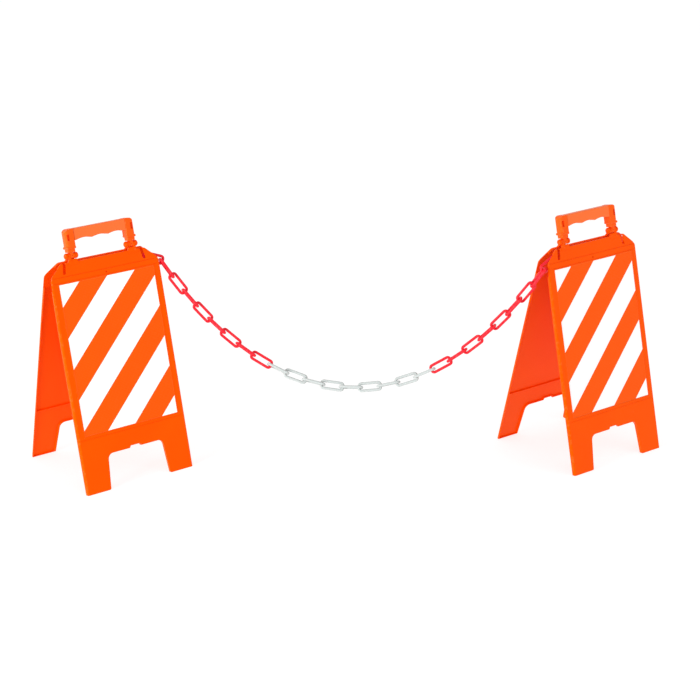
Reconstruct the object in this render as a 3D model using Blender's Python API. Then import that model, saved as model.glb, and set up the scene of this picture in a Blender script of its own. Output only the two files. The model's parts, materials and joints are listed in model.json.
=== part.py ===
"""Barricade kit: two folding A-frame stands of moulded plastic, joined by a hanging plastic chain.

Frame: metres, +Z up, origin on the floor midway between the stands, front faces towards -Y.
Each stand's hinge line runs along X. The right stand stands nearer the front, so the chain
runs diagonally between them. A panel is modelled upright in its own frame, with its hinge
line at the origin and its outer face towards -Y, and is then leaned and placed.
"""
import math

import bmesh
import bpy
from mathutils import Matrix, Vector

# ---- driving dimensions ----
STAND_SPREAD = Vector((0.525, -0.315, 0.0))     # from the kit's middle to the right stand's middle
LEAN = math.radians(14.0)                       # each open panel's lean from upright

PANEL_HALF_WIDTH = 0.1535
SIDE_STRAIGHT_HEIGHT = 0.40                     # the sides draw in above this
PANEL_HEIGHT = 0.577                            # along the face, foot to hood top
PIN_HEIGHT = 0.592                              # along the face, foot to hinge line
FACE = 0.0085                                   # outer face, out from the hinge line
POCKET_FLOOR = 0.0046                           # inside of the face wall
RIM = 0.00025                                   # inner rim of the side wall
WALL = 0.003                                    # side wall thickness

ARCH_TOP = 0.090
FOOT_INNER_LOW = 0.086
FOOT_INNER_HIGH = 0.078
ARCH_RADIUS = 0.013
FOOT_RADIUS = 0.004
NOTCH_HALF_WIDTH = 0.016
NOTCH_DEPTH = 0.0055
SHOULDER_HEIGHT = 0.537
SHOULDER_HALF_WIDTH = 0.151
SHOULDER_RADIUS = 0.022
HOOD_TOP_HALF_WIDTH = 0.112
CREASE_HEIGHT = 0.541
HOOD_LEAN_BACK = 0.003
RIB_HEIGHT = 0.143
RIB_THICKNESS = 0.0025

SHEET_HALF_WIDTH = 0.133
SHEET_BOTTOM = 0.147
SHEET_HEIGHT = 0.381
SHEET_THICKNESS = 0.0008
RECESS_DEPTH = 0.0011
GAP = 0.0003                                    # room kept between pieces that touch
OVERCUT = 0.002                                 # how far a cutter passes the surface it cuts
CUTTER_REACH = 0.2                              # half length of cutters wider than the panel
HANG_HOLE_RADIUS = 0.0022
HANG_HOLE_HEIGHT = 0.537

PEG_X = 0.121                                   # chain peg inside each shoulder
PEG_HEIGHT = 0.553
PEG_RADIUS = 0.003
PEG_REACH = 0.0042                              # past the hinge plane
SLOT_LOW = 0.514
SLOT_HIGH = 0.567
SLOT_INNER = 0.126

LEG_X = 0.0835                                  # middle of a handle leg, and of its pin
EAR_INNER = 0.004                               # ear faces, from the middle of the leg
EAR_OUTER = 0.010
EAR_RADIUS = 0.0075
PIN_RADIUS = 0.003
PIN_HOLE_RADIUS = 0.0033
PIN_END = 0.0150                                # end of the rod, from the middle of the leg
POST_HALF_WIDTH = 0.0105                        # the ears' post on the hood
POST_HALF_FOOT = 0.0150
POST_FRONT = 0.0064
POST_BACK = 0.0008
POST_HEIGHTS = (-0.0220, -0.0165, -0.0120, -0.0083)     # foot, foot's edge, waist and top
KNOB_RADIUS = 0.0078
KNOB_LENGTH = 0.0088

HANDLE_TOP = 0.066                              # above the hinge line, as are the next four
LEG_BOTTOM = 0.018
GRIP_BOTTOM = 0.0360
BAR_LOW = 0.045
BAR_HIGH = 0.058
LEG_HALF_WIDTH = 0.0115
HANDLE_HALF_DEPTH = 0.0125
GRIP_HALF_DEPTH = 0.0115
GRIP_HALF_WIDTH = 0.0713
BAR_HALF_DEPTH = 0.006
HANDLE_CORNER = 0.013
NECK_HALF_WIDTH = 0.010
NECK_HALF_DEPTH = 0.0095
NECK_BOTTOM = 0.0085
BEAD_HALF_WIDTH = 0.0130                        # the bead round each leg's lower end
BEAD_HALF_DEPTH = 0.0130
BEAD_LOW = 0.0170
BEAD_HIGH = 0.0230
SCALLOP_COUNT = 3
SCALLOP_DEPTH = 0.0035
LEG_POCKET = (0.0040, 0.0085, 0.006)            # half width, half height, depth
LEG_POCKET_OUTWARD = 0.0045
LEG_POCKET_HEIGHT = 0.0455

LINK_LENGTH = 0.0635
LINK_WIDTH = 0.026
WIRE_RADIUS = 0.0036
LINK_CORNER = 0.0065                            # of the wire's middle line
LINK_COUNT = 27
LINKS_OF_A_COLOUR = 9
LINK_GAP = 0.00035
END_LINK_DROOP = math.radians(22.0)
LEFT_ROLL = math.radians(-60.0)                 # turn of the even links about their length
MIDDLE_ROLL = math.radians(-60.0)
RIGHT_ROLL = math.radians(-98.0)
LEFT_SETTLE = Vector((-0.0015, 0.0006, -0.0012))    # how the hanging links settle in the end links
RIGHT_SETTLE = Vector((0.0009, -0.0030, -0.0004))

ORANGE = (0.95, 0.13, 0.01)
DEEP_ORANGE = (0.85, 0.10, 0.01)
WHITE = (0.86, 0.87, 0.86)
RED = (0.80, 0.03, 0.05)


# ---- materials ----
def make_material(name, colour, roughness):
    material = bpy.data.materials.new(name)
    material.use_nodes = True
    shader = material.node_tree.nodes["Principled BSDF"]
    shader.inputs["Base Color"].default_value = (*colour, 1.0)
    shader.inputs["Roughness"].default_value = roughness
    shader.inputs["Metallic"].default_value = 0.0
    return material


# ---- small tools ----
def arc(centre, radius, start, end, steps):
    """Points of an arc about centre, angles in degrees."""
    points = []
    for step in range(steps + 1):
        angle = math.radians(start + (end - start) * step / steps)
        points.append((centre[0] + radius * math.cos(angle), centre[1] + radius * math.sin(angle)))
    return points


def prism(name, outline, low, high, axis):
    """A closed prism. The outline is (x, z) pushed along Y, or (y, z) pushed along X."""
    shape = bmesh.new()
    if axis == "Y":
        corners = [shape.verts.new((a, low, b)) for a, b in outline]
        push = Vector((0.0, high - low, 0.0))
    else:
        corners = [shape.verts.new((low, a, b)) for a, b in outline]
        push = Vector((high - low, 0.0, 0.0))
    face = shape.faces.new(corners)
    grown = bmesh.ops.extrude_face_region(shape, geom=[face])
    moved = [item for item in grown["geom"] if isinstance(item, bmesh.types.BMVert)]
    bmesh.ops.translate(shape, verts=moved, vec=push)
    bmesh.ops.recalc_face_normals(shape, faces=shape.faces)
    mesh = bpy.data.meshes.new(name)
    shape.to_mesh(mesh)
    shape.free()
    return mesh


def box(name, low, high):
    outline = [(low[0], low[2]), (high[0], low[2]), (high[0], high[2]), (low[0], high[2])]
    return prism(name, outline, low[1], high[1], "Y")


def rod(name, radius, start, end, axis, sides=16):
    """A round rod along X or Y through the given middle point of its start."""
    shape = bmesh.new()
    length = end - start
    bmesh.ops.create_cone(shape, cap_ends=True, segments=sides, radius1=radius, radius2=radius, depth=length)
    turn = Matrix.Rotation(math.radians(90.0), 4, "Y" if axis == "X" else "X")
    bmesh.ops.transform(shape, matrix=turn, verts=shape.verts)
    middle = start + length / 2.0
    shift = Vector((middle, 0.0, 0.0)) if axis == "X" else Vector((0.0, middle, 0.0))
    bmesh.ops.translate(shape, verts=shape.verts, vec=shift)
    bmesh.ops.recalc_face_normals(shape, faces=shape.faces)
    mesh = bpy.data.meshes.new(name)
    shape.to_mesh(mesh)
    shape.free()
    return mesh


def helper(mesh, location=(0.0, 0.0, 0.0)):
    """A hidden object that a Boolean modifier adds or takes away."""
    guide = bpy.data.objects.new(mesh.name, mesh)
    bpy.context.collection.objects.link(guide)
    guide.location = location
    guide.display_type = "WIRE"
    guide.hide_render = True
    return guide


def combine(piece, guide, operation):
    modifier = piece.modifiers.new(guide.name, "BOOLEAN")
    modifier.operation = operation
    modifier.solver = "EXACT"
    modifier.object = guide


def bake(piece):
    """The mesh as its modifiers leave it, for pieces that share one shape."""
    bpy.context.view_layer.update()
    graph = bpy.context.evaluated_depsgraph_get()
    mesh = bpy.data.meshes.new_from_object(piece.evaluated_get(graph))
    mesh.name = piece.name
    guides = [modifier.object for modifier in piece.modifiers]
    bpy.data.objects.remove(piece)
    for guide in guides:
        bpy.data.objects.remove(guide)
    return mesh


def new_object(name, data, material=None, parent=None):
    thing = bpy.data.objects.new(name, data)
    bpy.context.collection.objects.link(thing)
    if material is not None:
        if data.materials:
            data.materials[0] = material
        else:
            data.materials.append(material)
    if parent is not None:
        thing.parent = parent
    return thing


# ---- panel ----
def panel_outline():
    """Half of the panel's front outline from the arch's middle to the hood top, then its mirror."""
    base = -PIN_HEIGHT
    half = [(NOTCH_HALF_WIDTH - 0.003, base + ARCH_TOP + NOTCH_DEPTH)]
    half += [(NOTCH_HALF_WIDTH, base + ARCH_TOP)]
    half += arc((FOOT_INNER_HIGH - ARCH_RADIUS, base + ARCH_TOP - ARCH_RADIUS), ARCH_RADIUS, 90, 5, 4)
    half += arc((FOOT_INNER_LOW + FOOT_RADIUS, base + FOOT_RADIUS), FOOT_RADIUS, 185, 270, 2)
    half += arc((PANEL_HALF_WIDTH - FOOT_RADIUS, base + FOOT_RADIUS), FOOT_RADIUS, 270, 360, 2)
    half += [(PANEL_HALF_WIDTH, base + SIDE_STRAIGHT_HEIGHT)]
    centre = (SHOULDER_HALF_WIDTH - SHOULDER_RADIUS, base + SHOULDER_HEIGHT)
    half += arc(centre, SHOULDER_RADIUS, 0, 62, 4)
    half += [(HOOD_TOP_HALF_WIDTH + 0.008, base + PANEL_HEIGHT - 0.003)]
    half += [(HOOD_TOP_HALF_WIDTH, base + PANEL_HEIGHT)]
    return half + [(-x, z) for x, z in reversed(half)]


def tray(name):
    """The panel's tray: the outline pushed to its depth, with a pocket sunk in its inner side."""
    shape = bmesh.new()
    corners = [shape.verts.new((x, -FACE, z)) for x, z in panel_outline()]
    face = shape.faces.new(corners)
    grown = bmesh.ops.extrude_face_region(shape, geom=[face])
    moved = [item for item in grown["geom"] if isinstance(item, bmesh.types.BMVert)]
    bmesh.ops.translate(shape, verts=moved, vec=(0.0, FACE - RIM, 0.0))
    bmesh.ops.recalc_face_normals(shape, faces=shape.faces)
    inner = max(shape.faces, key=lambda side: side.calc_center_median().y)
    bmesh.ops.inset_region(shape, faces=[inner], thickness=WALL, use_even_offset=True)
    sunk = bmesh.ops.extrude_face_region(shape, geom=[inner])
    floor = [item for item in sunk["geom"] if isinstance(item, bmesh.types.BMVert)]
    bmesh.ops.delete(shape, geom=[inner], context="FACES")
    bmesh.ops.translate(shape, verts=floor, vec=(0.0, RIM - POCKET_FLOOR, 0.0))
    bmesh.ops.recalc_face_normals(shape, faces=shape.faces)
    mesh = bpy.data.meshes.new(name)
    shape.to_mesh(mesh)
    shape.free()
    return mesh


def post(side):
    """The spreading post under the ears, in front of the hinge plane and clear of the eyes."""
    foot, edge, waist, top = POST_HEIGHTS
    half = [(POST_HALF_FOOT, foot), (POST_HALF_FOOT, edge), (POST_HALF_WIDTH, waist), (POST_HALF_WIDTH, top)]
    outline = half + [(-x, z) for x, z in reversed(half)]
    outline = [(side * LEG_X + x, z) for x, z in outline]
    return prism("post", outline, -POST_FRONT, -POST_BACK, "Y")


def ear(name, side, inward):
    """A hinge ear: a round eye on the hinge line and a stem down into the hood."""
    near = LEG_X - EAR_OUTER if inward else LEG_X + EAR_INNER
    far = LEG_X - EAR_INNER if inward else LEG_X + EAR_OUTER
    low, high = sorted((side * near, side * far))
    profile = [(-0.0062, -0.030), (-EAR_RADIUS, -0.012)]
    profile += arc((0.0, 0.0), EAR_RADIUS, 180, -45, 10)
    profile += [(-0.0010, -0.0095), (-0.0010, -0.030)]
    return prism(name, profile, low, high, "X")


def make_panel(name, ears_inward):
    """One moulded panel, upright, hinge line at the origin, outer face towards -Y."""
    base = -PIN_HEIGHT
    piece = new_object(name, tray(name + "_tray"))

    above = base + PANEL_HEIGHT + 0.01
    lean_cut = [(-FACE - OVERCUT, base + CREASE_HEIGHT), (-FACE, base + CREASE_HEIGHT),
                (-FACE + HOOD_LEAN_BACK, base + PANEL_HEIGHT), (-FACE + HOOD_LEAN_BACK, above),
                (-FACE - OVERCUT, above)]
    combine(piece, helper(prism("hood_cut", lean_cut, -CUTTER_REACH, CUTTER_REACH, "X")), "DIFFERENCE")

    rib = box("rib", (-PANEL_HALF_WIDTH + 0.002, -POCKET_FLOOR - 0.001, base + RIB_HEIGHT),
              (PANEL_HALF_WIDTH - 0.002, -RIM - 0.0004, base + RIB_HEIGHT + RIB_THICKNESS))
    combine(piece, helper(rib), "UNION")

    for side in (-1, 1):
        combine(piece, helper(post(side)), "UNION")
        combine(piece, helper(ear("ear", side, ears_inward)), "UNION")
        combine(piece, helper(ear_hole(), (side * LEG_X, 0.0, 0.0)), "DIFFERENCE")
        low, high = sorted((side * SLOT_INNER, side * (PANEL_HALF_WIDTH + 0.01)))
        slot = box("chain_slot", (low, -POCKET_FLOOR, base + SLOT_LOW), (high, OVERCUT, base + SLOT_HIGH))
        combine(piece, helper(slot), "DIFFERENCE")
    if not ears_inward:
        for side in (-1, 1):
            peg = rod("peg", PEG_RADIUS, -POCKET_FLOOR - 0.001, PEG_REACH, "Y", 12)
            combine(piece, helper(peg, (side * PEG_X, 0.0, base + PEG_HEIGHT)), "UNION")

    recess = box("recess", (-SHEET_HALF_WIDTH - GAP, -FACE - OVERCUT, base + SHEET_BOTTOM - GAP),
                 (SHEET_HALF_WIDTH + GAP, -FACE + RECESS_DEPTH, base + SHEET_BOTTOM + SHEET_HEIGHT + GAP))
    combine(piece, helper(recess), "DIFFERENCE")
    hole = rod("hang_hole", HANG_HOLE_RADIUS, -0.02, 0.02, "Y", 12)
    combine(piece, helper(hole, (0.0, 0.0, base + HANG_HOLE_HEIGHT)), "DIFFERENCE")

    rise = math.tan(LEAN)
    floor_cut = [(-FACE - 0.004, base - 0.004 * rise), (0.004, base + (FACE + 0.004) * rise),
                 (0.004, base - 0.02), (-FACE - 0.004, base - 0.02)]
    combine(piece, helper(prism("floor_cut", floor_cut, -CUTTER_REACH, CUTTER_REACH, "X")), "DIFFERENCE")
    return bake(piece)


def ear_hole():
    return rod("ear_hole", PIN_HOLE_RADIUS, -EAR_OUTER - OVERCUT, EAR_OUTER + OVERCUT, "X")


# ---- striped sheet ----
def make_sheet():
    base = -PIN_HEIGHT + SHEET_BOTTOM
    back = -FACE + RECESS_DEPTH - GAP
    return box("sheet", (-SHEET_HALF_WIDTH, back - SHEET_THICKNESS, base),
               (SHEET_HALF_WIDTH, back, base + SHEET_HEIGHT))


# ---- handle ----
def leg_outline(side):
    """Front view of a handle leg, with a rounded outer top corner."""
    outer = LEG_X + LEG_HALF_WIDTH
    inner = LEG_X - LEG_HALF_WIDTH
    points = [(inner, LEG_BOTTOM), (outer, LEG_BOTTOM)]
    points += arc((outer - HANDLE_CORNER, HANDLE_TOP - HANDLE_CORNER), HANDLE_CORNER, 0, 90, 4)
    points += [(inner, HANDLE_TOP)]
    return [(side * x, z) for x, z in points]


def make_handle_frame():
    """Two legs joined by a bar, each leg ending in a tongue with the pin hole."""
    depth = HANDLE_HALF_DEPTH
    piece = new_object("handle_frame", prism("handle_frame", leg_outline(1), -depth, depth, "Y"))
    other_leg = prism("other_leg", leg_outline(-1), -depth, depth, "Y")
    reach = LEG_X - LEG_HALF_WIDTH + 0.002
    bar = box("bar", (-reach, -BAR_HALF_DEPTH, BAR_LOW), (reach, BAR_HALF_DEPTH, BAR_HIGH))
    combine(piece, helper(bar), "UNION")
    combine(piece, helper(other_leg), "UNION")
    for side in (-1, 1):
        middle = side * LEG_X
        neck = box("neck", (middle - NECK_HALF_WIDTH, -NECK_HALF_DEPTH, NECK_BOTTOM),
                   (middle + NECK_HALF_WIDTH, NECK_HALF_DEPTH, LEG_BOTTOM + 0.001))
        combine(piece, helper(neck), "UNION")
        bead = box("bead", (middle - BEAD_HALF_WIDTH, -BEAD_HALF_DEPTH, BEAD_LOW),
                   (middle + BEAD_HALF_WIDTH, BEAD_HALF_DEPTH, BEAD_HIGH))
        combine(piece, helper(bead), "UNION")
        profile = arc((0.0, 0.0), EAR_RADIUS, 180, 360, 8)
        profile += [(EAR_RADIUS, 0.010), (-EAR_RADIUS, 0.010)]
        tongue = prism("tongue", profile, middle - EAR_INNER + GAP, middle + EAR_INNER - GAP, "X")
        combine(piece, helper(tongue), "UNION")
        combine(piece, helper(ear_hole(), (middle, 0.0, 0.0)), "DIFFERENCE")
        half, tall, deep = LEG_POCKET
        outward = middle + side * LEG_POCKET_OUTWARD
        pocket = box("leg_pocket", (outward - half, -depth - OVERCUT, LEG_POCKET_HEIGHT - tall),
                     (outward + half, -depth + deep, LEG_POCKET_HEIGHT + tall))
        combine(piece, helper(pocket), "DIFFERENCE")
    return bake(piece)


def make_grip():
    """The finger grip, moulded round the bar, with scallops along its underside."""
    points = [(-GRIP_HALF_WIDTH, HANDLE_TOP - GAP), (-GRIP_HALF_WIDTH, GRIP_BOTTOM)]
    pitch = 2.0 * (GRIP_HALF_WIDTH - 0.004) / SCALLOP_COUNT
    steps = 6
    for scallop in range(SCALLOP_COUNT):
        start = -GRIP_HALF_WIDTH + 0.004 + scallop * pitch
        for step in range(steps):
            share = step / steps
            points.append((start + share * pitch, GRIP_BOTTOM + SCALLOP_DEPTH * math.sin(math.pi * share)))
    points += [(GRIP_HALF_WIDTH - 0.004, GRIP_BOTTOM), (GRIP_HALF_WIDTH, GRIP_BOTTOM)]
    points += [(GRIP_HALF_WIDTH, HANDLE_TOP - GAP)]
    piece = new_object("grip", prism("grip", points, -GRIP_HALF_DEPTH, GRIP_HALF_DEPTH, "Y"))
    channel = box("channel", (-0.09, -BAR_HALF_DEPTH - GAP, BAR_LOW - GAP),
                  (0.09, BAR_HALF_DEPTH + GAP, BAR_HIGH + GAP))
    combine(piece, helper(channel), "DIFFERENCE")
    return bake(piece)


# ---- hinge pin and cap ----
def knob_profile(base):
    """Half outline of a domed knob on the hinge line: (x, radius) from its flat face outwards."""
    points = [(base, KNOB_RADIUS)]
    for step in range(1, 6):
        angle = math.radians(90.0 * step / 5)
        points.append((base + 0.003 + (KNOB_LENGTH - 0.003) * math.sin(angle), KNOB_RADIUS * math.cos(angle)))
    return points


def turned(name, profile, sides=16):
    """A solid of revolution about X from (x, radius) points that start and end on the axis."""
    shape = bmesh.new()
    points = [shape.verts.new((x, 0.0, radius)) for x, radius in profile]
    edges = [shape.edges.new(pair) for pair in zip(points, points[1:])]
    bmesh.ops.spin(shape, geom=points + edges, cent=(0.0, 0.0, 0.0), axis=(1.0, 0.0, 0.0),
                   angle=2.0 * math.pi, steps=sides, use_merge=True)
    bmesh.ops.remove_doubles(shape, verts=shape.verts, dist=0.00001)
    bmesh.ops.recalc_face_normals(shape, faces=shape.faces)
    mesh = bpy.data.meshes.new(name)
    shape.to_mesh(mesh)
    shape.free()
    return mesh


def make_pin():
    """The rod and its domed head, the head on the +X side."""
    head = EAR_OUTER + GAP
    profile = [(-PIN_END, 0.0), (-PIN_END, PIN_RADIUS), (head, PIN_RADIUS)]
    profile += knob_profile(head)
    return turned("hinge_pin", profile)


def make_cap():
    """The domed cap pushed over the rod's plain end, on the -X side."""
    face = EAR_OUTER + GAP
    bore = PIN_END + GAP
    profile = [(-bore, 0.0), (-bore, PIN_HOLE_RADIUS), (-face, PIN_HOLE_RADIUS)]
    profile += [(-x, radius) for x, radius in knob_profile(face)]
    return turned("pin_cap", profile)


# ---- chain ----
def make_link_curve():
    """A link's wire: a rounded rectangle in the XZ plane, long way along X."""
    half_length = LINK_LENGTH / 2.0 - WIRE_RADIUS
    half_width = LINK_WIDTH / 2.0 - WIRE_RADIUS
    points = []
    corners = [(1, 1, 0), (-1, 1, 90), (-1, -1, 180), (1, -1, 270)]
    for side_x, side_z, start in corners:
        centre = (side_x * (half_length - LINK_CORNER), side_z * (half_width - LINK_CORNER))
        points += arc(centre, LINK_CORNER, start, start + 90, 3)
    curve = bpy.data.curves.new("link_wire", "CURVE")
    curve.dimensions = "3D"
    curve.bevel_depth = WIRE_RADIUS
    curve.bevel_resolution = 1
    wire = curve.splines.new("POLY")
    wire.points.add(len(points) - 1)
    for point, (x, z) in zip(wire.points, points):
        point.co = (x, 0.0, z, 1.0)
    wire.use_cyclic_u = True
    return curve


def frame_matrix(along, across, origin):
    """A link's placing: its length along one direction, its width across."""
    length = along.normalized()
    width = (across - across.dot(length) * length).normalized()
    normal = width.cross(length)
    rows = Matrix((length, normal, width)).transposed()
    return Matrix.Translation(origin) @ rows.to_4x4()


def hanging_points(start, end, count, step):
    """Joint points of equal links that hang in balance between two points."""
    span = Vector((end.x - start.x, end.y - start.y, 0.0))
    flat = span.length
    rise = end.z - start.z

    def run(pull, tilt):
        angles = [math.atan(tilt + (index - (count - 1) / 2.0) / pull) for index in range(count)]
        across = sum(step * math.cos(angle) for angle in angles)
        up = sum(step * math.sin(angle) for angle in angles)
        return angles, across, up

    low, high = 0.1, 1000.0
    for _ in range(80):
        pull = math.sqrt(low * high)
        tilt_low, tilt_high = -5.0, 5.0
        for _ in range(60):
            tilt = (tilt_low + tilt_high) / 2.0
            if run(pull, tilt)[2] > rise:
                tilt_high = tilt
            else:
                tilt_low = tilt
        if run(pull, tilt)[1] > flat:
            high = pull
        else:
            low = pull
    points = [start.copy()]
    direction = span.normalized()
    for angle in run(pull, tilt)[0]:
        lift = Vector((0.0, 0.0, step * math.sin(angle)))
        points.append(points[-1] + direction * step * math.cos(angle) + lift)
    return points


def make_chain(left, right, materials):
    """All links: the two end links hooked on pegs, the others hanging between them."""
    curve = make_link_curve()
    pitch = LINK_LENGTH - 4.0 * WIRE_RADIUS - LINK_GAP
    peg_to_middle = LINK_LENGTH / 2.0 - 2.0 * WIRE_RADIUS - PEG_RADIUS - LINK_GAP
    peg_to_joint = peg_to_middle + pitch / 2.0
    placings = {}
    joints = []
    for stand, side, settle in ((left, 1, LEFT_SETTLE), (right, -1, RIGHT_SETTLE)):
        lean = Matrix.Rotation(-LEAN, 3, "X")
        along = lean @ Vector((side * math.cos(END_LINK_DROOP), 0.0, -math.sin(END_LINK_DROOP)))
        across = lean @ Vector((side * math.sin(END_LINK_DROOP), 0.0, math.cos(END_LINK_DROOP)))
        peg = stand + hinge_point() + lean @ Vector((side * PEG_X, 0.0, PEG_HEIGHT - PIN_HEIGHT))
        number = 1 if side > 0 else LINK_COUNT
        placings[number] = frame_matrix(along, across, peg + along * peg_to_middle)
        joints.append(peg + along * peg_to_joint + settle)

    points = hanging_points(joints[0], joints[1], LINK_COUNT - 2, pitch)
    aside = Vector((0.0, 0.0, 1.0)).cross(joints[1] - joints[0]).normalized()
    for index in range(LINK_COUNT - 2):
        number = index + 2
        along = points[index + 1] - points[index]
        upward = aside.cross(along).normalized() * -1.0
        middle = (LINK_COUNT - 3) / 2.0
        end_roll = LEFT_ROLL if index < middle else RIGHT_ROLL
        roll = MIDDLE_ROLL + (end_roll - MIDDLE_ROLL) * abs(index - middle) / middle
        if number % 2:
            roll -= math.radians(90.0)
        across = upward * math.cos(roll) + aside * math.sin(roll)
        placings[number] = frame_matrix(along, across, (points[index] + points[index + 1]) / 2.0)

    for number in sorted(placings):
        red = number <= LINKS_OF_A_COLOUR or number > 2 * LINKS_OF_A_COLOUR
        link = new_object("chain_link_%02d" % number, curve.copy(), materials["red" if red else "white"])
        link.matrix_world = placings[number]
    bpy.data.curves.remove(curve)


# ---- stands ----
def hinge_point():
    """The hinge line's middle, above the middle of the stand's footprint."""
    height = PIN_HEIGHT * math.cos(LEAN) - FACE * math.sin(LEAN)
    return Vector((0.0, 0.0, height))


def copy_with(name, mesh, material, parent):
    return new_object(name, mesh.copy(), material, parent)


def make_stand(prefix, place, shapes, materials):
    hinge = bpy.data.objects.new(prefix + "_hinge_line", None)
    bpy.context.collection.objects.link(hinge)
    hinge.location = place + hinge_point()

    front = copy_with(prefix + "_front_panel", shapes["front"], materials["panel"], hinge)
    front.rotation_euler = (-LEAN, 0.0, 0.0)
    rear = copy_with(prefix + "_rear_panel", shapes["rear"], materials["panel"], hinge)
    rear.rotation_euler = (-LEAN, 0.0, math.pi)
    copy_with(prefix + "_front_sheet", shapes["sheet"], materials["sheet"], front)
    copy_with(prefix + "_rear_sheet", shapes["sheet"], materials["sheet"], rear)
    handle = copy_with(prefix + "_handle_frame", shapes["handle"], materials["handle"], hinge)
    handle.rotation_euler = (-LEAN, 0.0, 0.0)
    copy_with(prefix + "_handle_grip", shapes["grip"], materials["grip"], handle)

    for side, word in ((-1, "left"), (1, "right")):
        for kind, shape in (("hinge_pin", shapes["pin"]), ("pin_cap", shapes["cap"])):
            piece = copy_with("%s_%s_%s" % (prefix, word, kind), shape, materials["pin"], hinge)
            piece.location = (side * LEG_X, 0.0, 0.0)
            piece.rotation_euler = (0.0, 0.0, 0.0 if side > 0 else math.pi)
            for polygon in piece.data.polygons:
                polygon.use_smooth = True


def build():
    for thing in list(bpy.data.objects):
        bpy.data.objects.remove(thing)
    materials = {
        "panel": make_material("orange_panel_plastic", ORANGE, 0.35),
        "handle": make_material("orange_handle_plastic", ORANGE, 0.32),
        "grip": make_material("orange_grip_plastic", DEEP_ORANGE, 0.40),
        "pin": make_material("orange_pin_plastic", DEEP_ORANGE, 0.35),
        "sheet": make_material("striped_sheet", WHITE, 0.30),
        "red": make_material("red_link_plastic", RED, 0.35),
        "white": make_material("white_link_plastic", WHITE, 0.35),
    }
    shapes = {
        "front": make_panel("front_panel", False),
        "rear": make_panel("rear_panel", True),
        "sheet": make_sheet(),
        "handle": make_handle_frame(),
        "grip": make_grip(),
        "pin": make_pin(),
        "cap": make_cap(),
    }
    make_stand("left", -STAND_SPREAD, shapes, materials)
    make_stand("right", STAND_SPREAD, shapes, materials)
    make_chain(-STAND_SPREAD, STAND_SPREAD, materials)


build()
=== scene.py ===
# %% [markdown]
# # A folding barricade kit: two striped A-frame stands and a hanging plastic chain
#
# Each stand is two leaning panels that share a hinge line with a carrying handle. A red and
# white chain hangs between them. The CAD model fixes every size and every moving body, so this
# lesson builds the looks around it: soft moulded edges, beads, seams, mould grain, reflective
# sheeting and small signs of use.
#
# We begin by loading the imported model. Its nodes sit in metres, and nothing here moves them.

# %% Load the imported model
import json
import math

import bmesh
import bpy
import numpy as np
from mathutils import Euler, Matrix, Vector


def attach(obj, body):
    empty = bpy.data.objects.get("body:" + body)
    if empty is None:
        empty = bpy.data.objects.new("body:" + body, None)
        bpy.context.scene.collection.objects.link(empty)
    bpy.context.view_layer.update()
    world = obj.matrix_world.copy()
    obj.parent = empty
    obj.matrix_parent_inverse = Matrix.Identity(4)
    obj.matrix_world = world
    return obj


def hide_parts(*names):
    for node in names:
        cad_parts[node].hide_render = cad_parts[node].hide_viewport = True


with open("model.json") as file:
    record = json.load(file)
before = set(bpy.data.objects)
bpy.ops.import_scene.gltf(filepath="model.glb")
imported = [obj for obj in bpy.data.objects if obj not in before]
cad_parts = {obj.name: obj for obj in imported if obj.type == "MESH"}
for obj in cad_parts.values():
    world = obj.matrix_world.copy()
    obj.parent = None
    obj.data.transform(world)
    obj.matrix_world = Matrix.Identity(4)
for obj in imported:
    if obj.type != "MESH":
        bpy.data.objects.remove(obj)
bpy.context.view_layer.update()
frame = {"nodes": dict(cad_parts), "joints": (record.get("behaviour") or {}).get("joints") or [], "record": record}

nodes = frame["nodes"]
joints = {joint["name"]: joint for joint in frame["joints"]}

# %% [markdown]
# ## The camera
#
# A long lens keeps the two stands nearly the same size although one stands nearer. Its
# direction is set with two angles, because a yaw and a pitch are easier to read than a
# quaternion.

# %% Place the camera
CAMERA_PLACE = Vector((-2.5598, -3.4688, 1.9129))
CAMERA_YAW = math.radians(36.51)
CAMERA_PITCH = math.radians(20.69)
FOCAL_LENGTH = 92.57  # millimetres on a 36 mm sensor

camera_data = bpy.data.cameras.new("studio_camera")
camera_data.sensor_width = 36.0
camera_data.lens = FOCAL_LENGTH
camera_data.clip_end = 200.0
camera = bpy.data.objects.new("studio_camera", camera_data)
bpy.context.collection.objects.link(camera)
camera.location = CAMERA_PLACE
camera.rotation_euler = Euler((math.pi / 2.0 - CAMERA_PITCH, 0.0, -CAMERA_YAW), "XYZ")
bpy.context.scene.camera = camera
print("camera at", [round(value, 3) for value in camera.location])

# %% [markdown]
# ## Floor and light
#
# Catalogue pictures of safety equipment use a white table and very large, soft lamps. Large lamps
# wrap round the rounded plastic edges and leave broad pale bands on them. A floor that is a wide
# disc reaches past the view, so no horizon shows. The plain display transform keeps the orange
# as strong as the plastic is.

# %% Make the floor
FLOOR_RADIUS = 40.0
FLOOR_SIDES = 96
FLOOR_GLOW = 0.74  # a lit table, so that shadows stay faint
FLOOR_GREYS = (0.34, 0.37)


def finish_mesh(mesh, name):
    """Turns a bmesh into a mesh datablock and frees it."""
    data = bpy.data.meshes.new(name)
    mesh.to_mesh(data)
    mesh.free()
    return data


def show(data, name):
    """Puts a mesh or curve in the scene as an object at the origin."""
    thing = bpy.data.objects.new(name, data)
    bpy.context.collection.objects.link(thing)
    return thing


disc = bmesh.new()
bmesh.ops.create_circle(disc, cap_ends=True, segments=FLOOR_SIDES, radius=FLOOR_RADIUS)
floor = show(finish_mesh(disc, "studio_floor"), "studio_floor")

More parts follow.
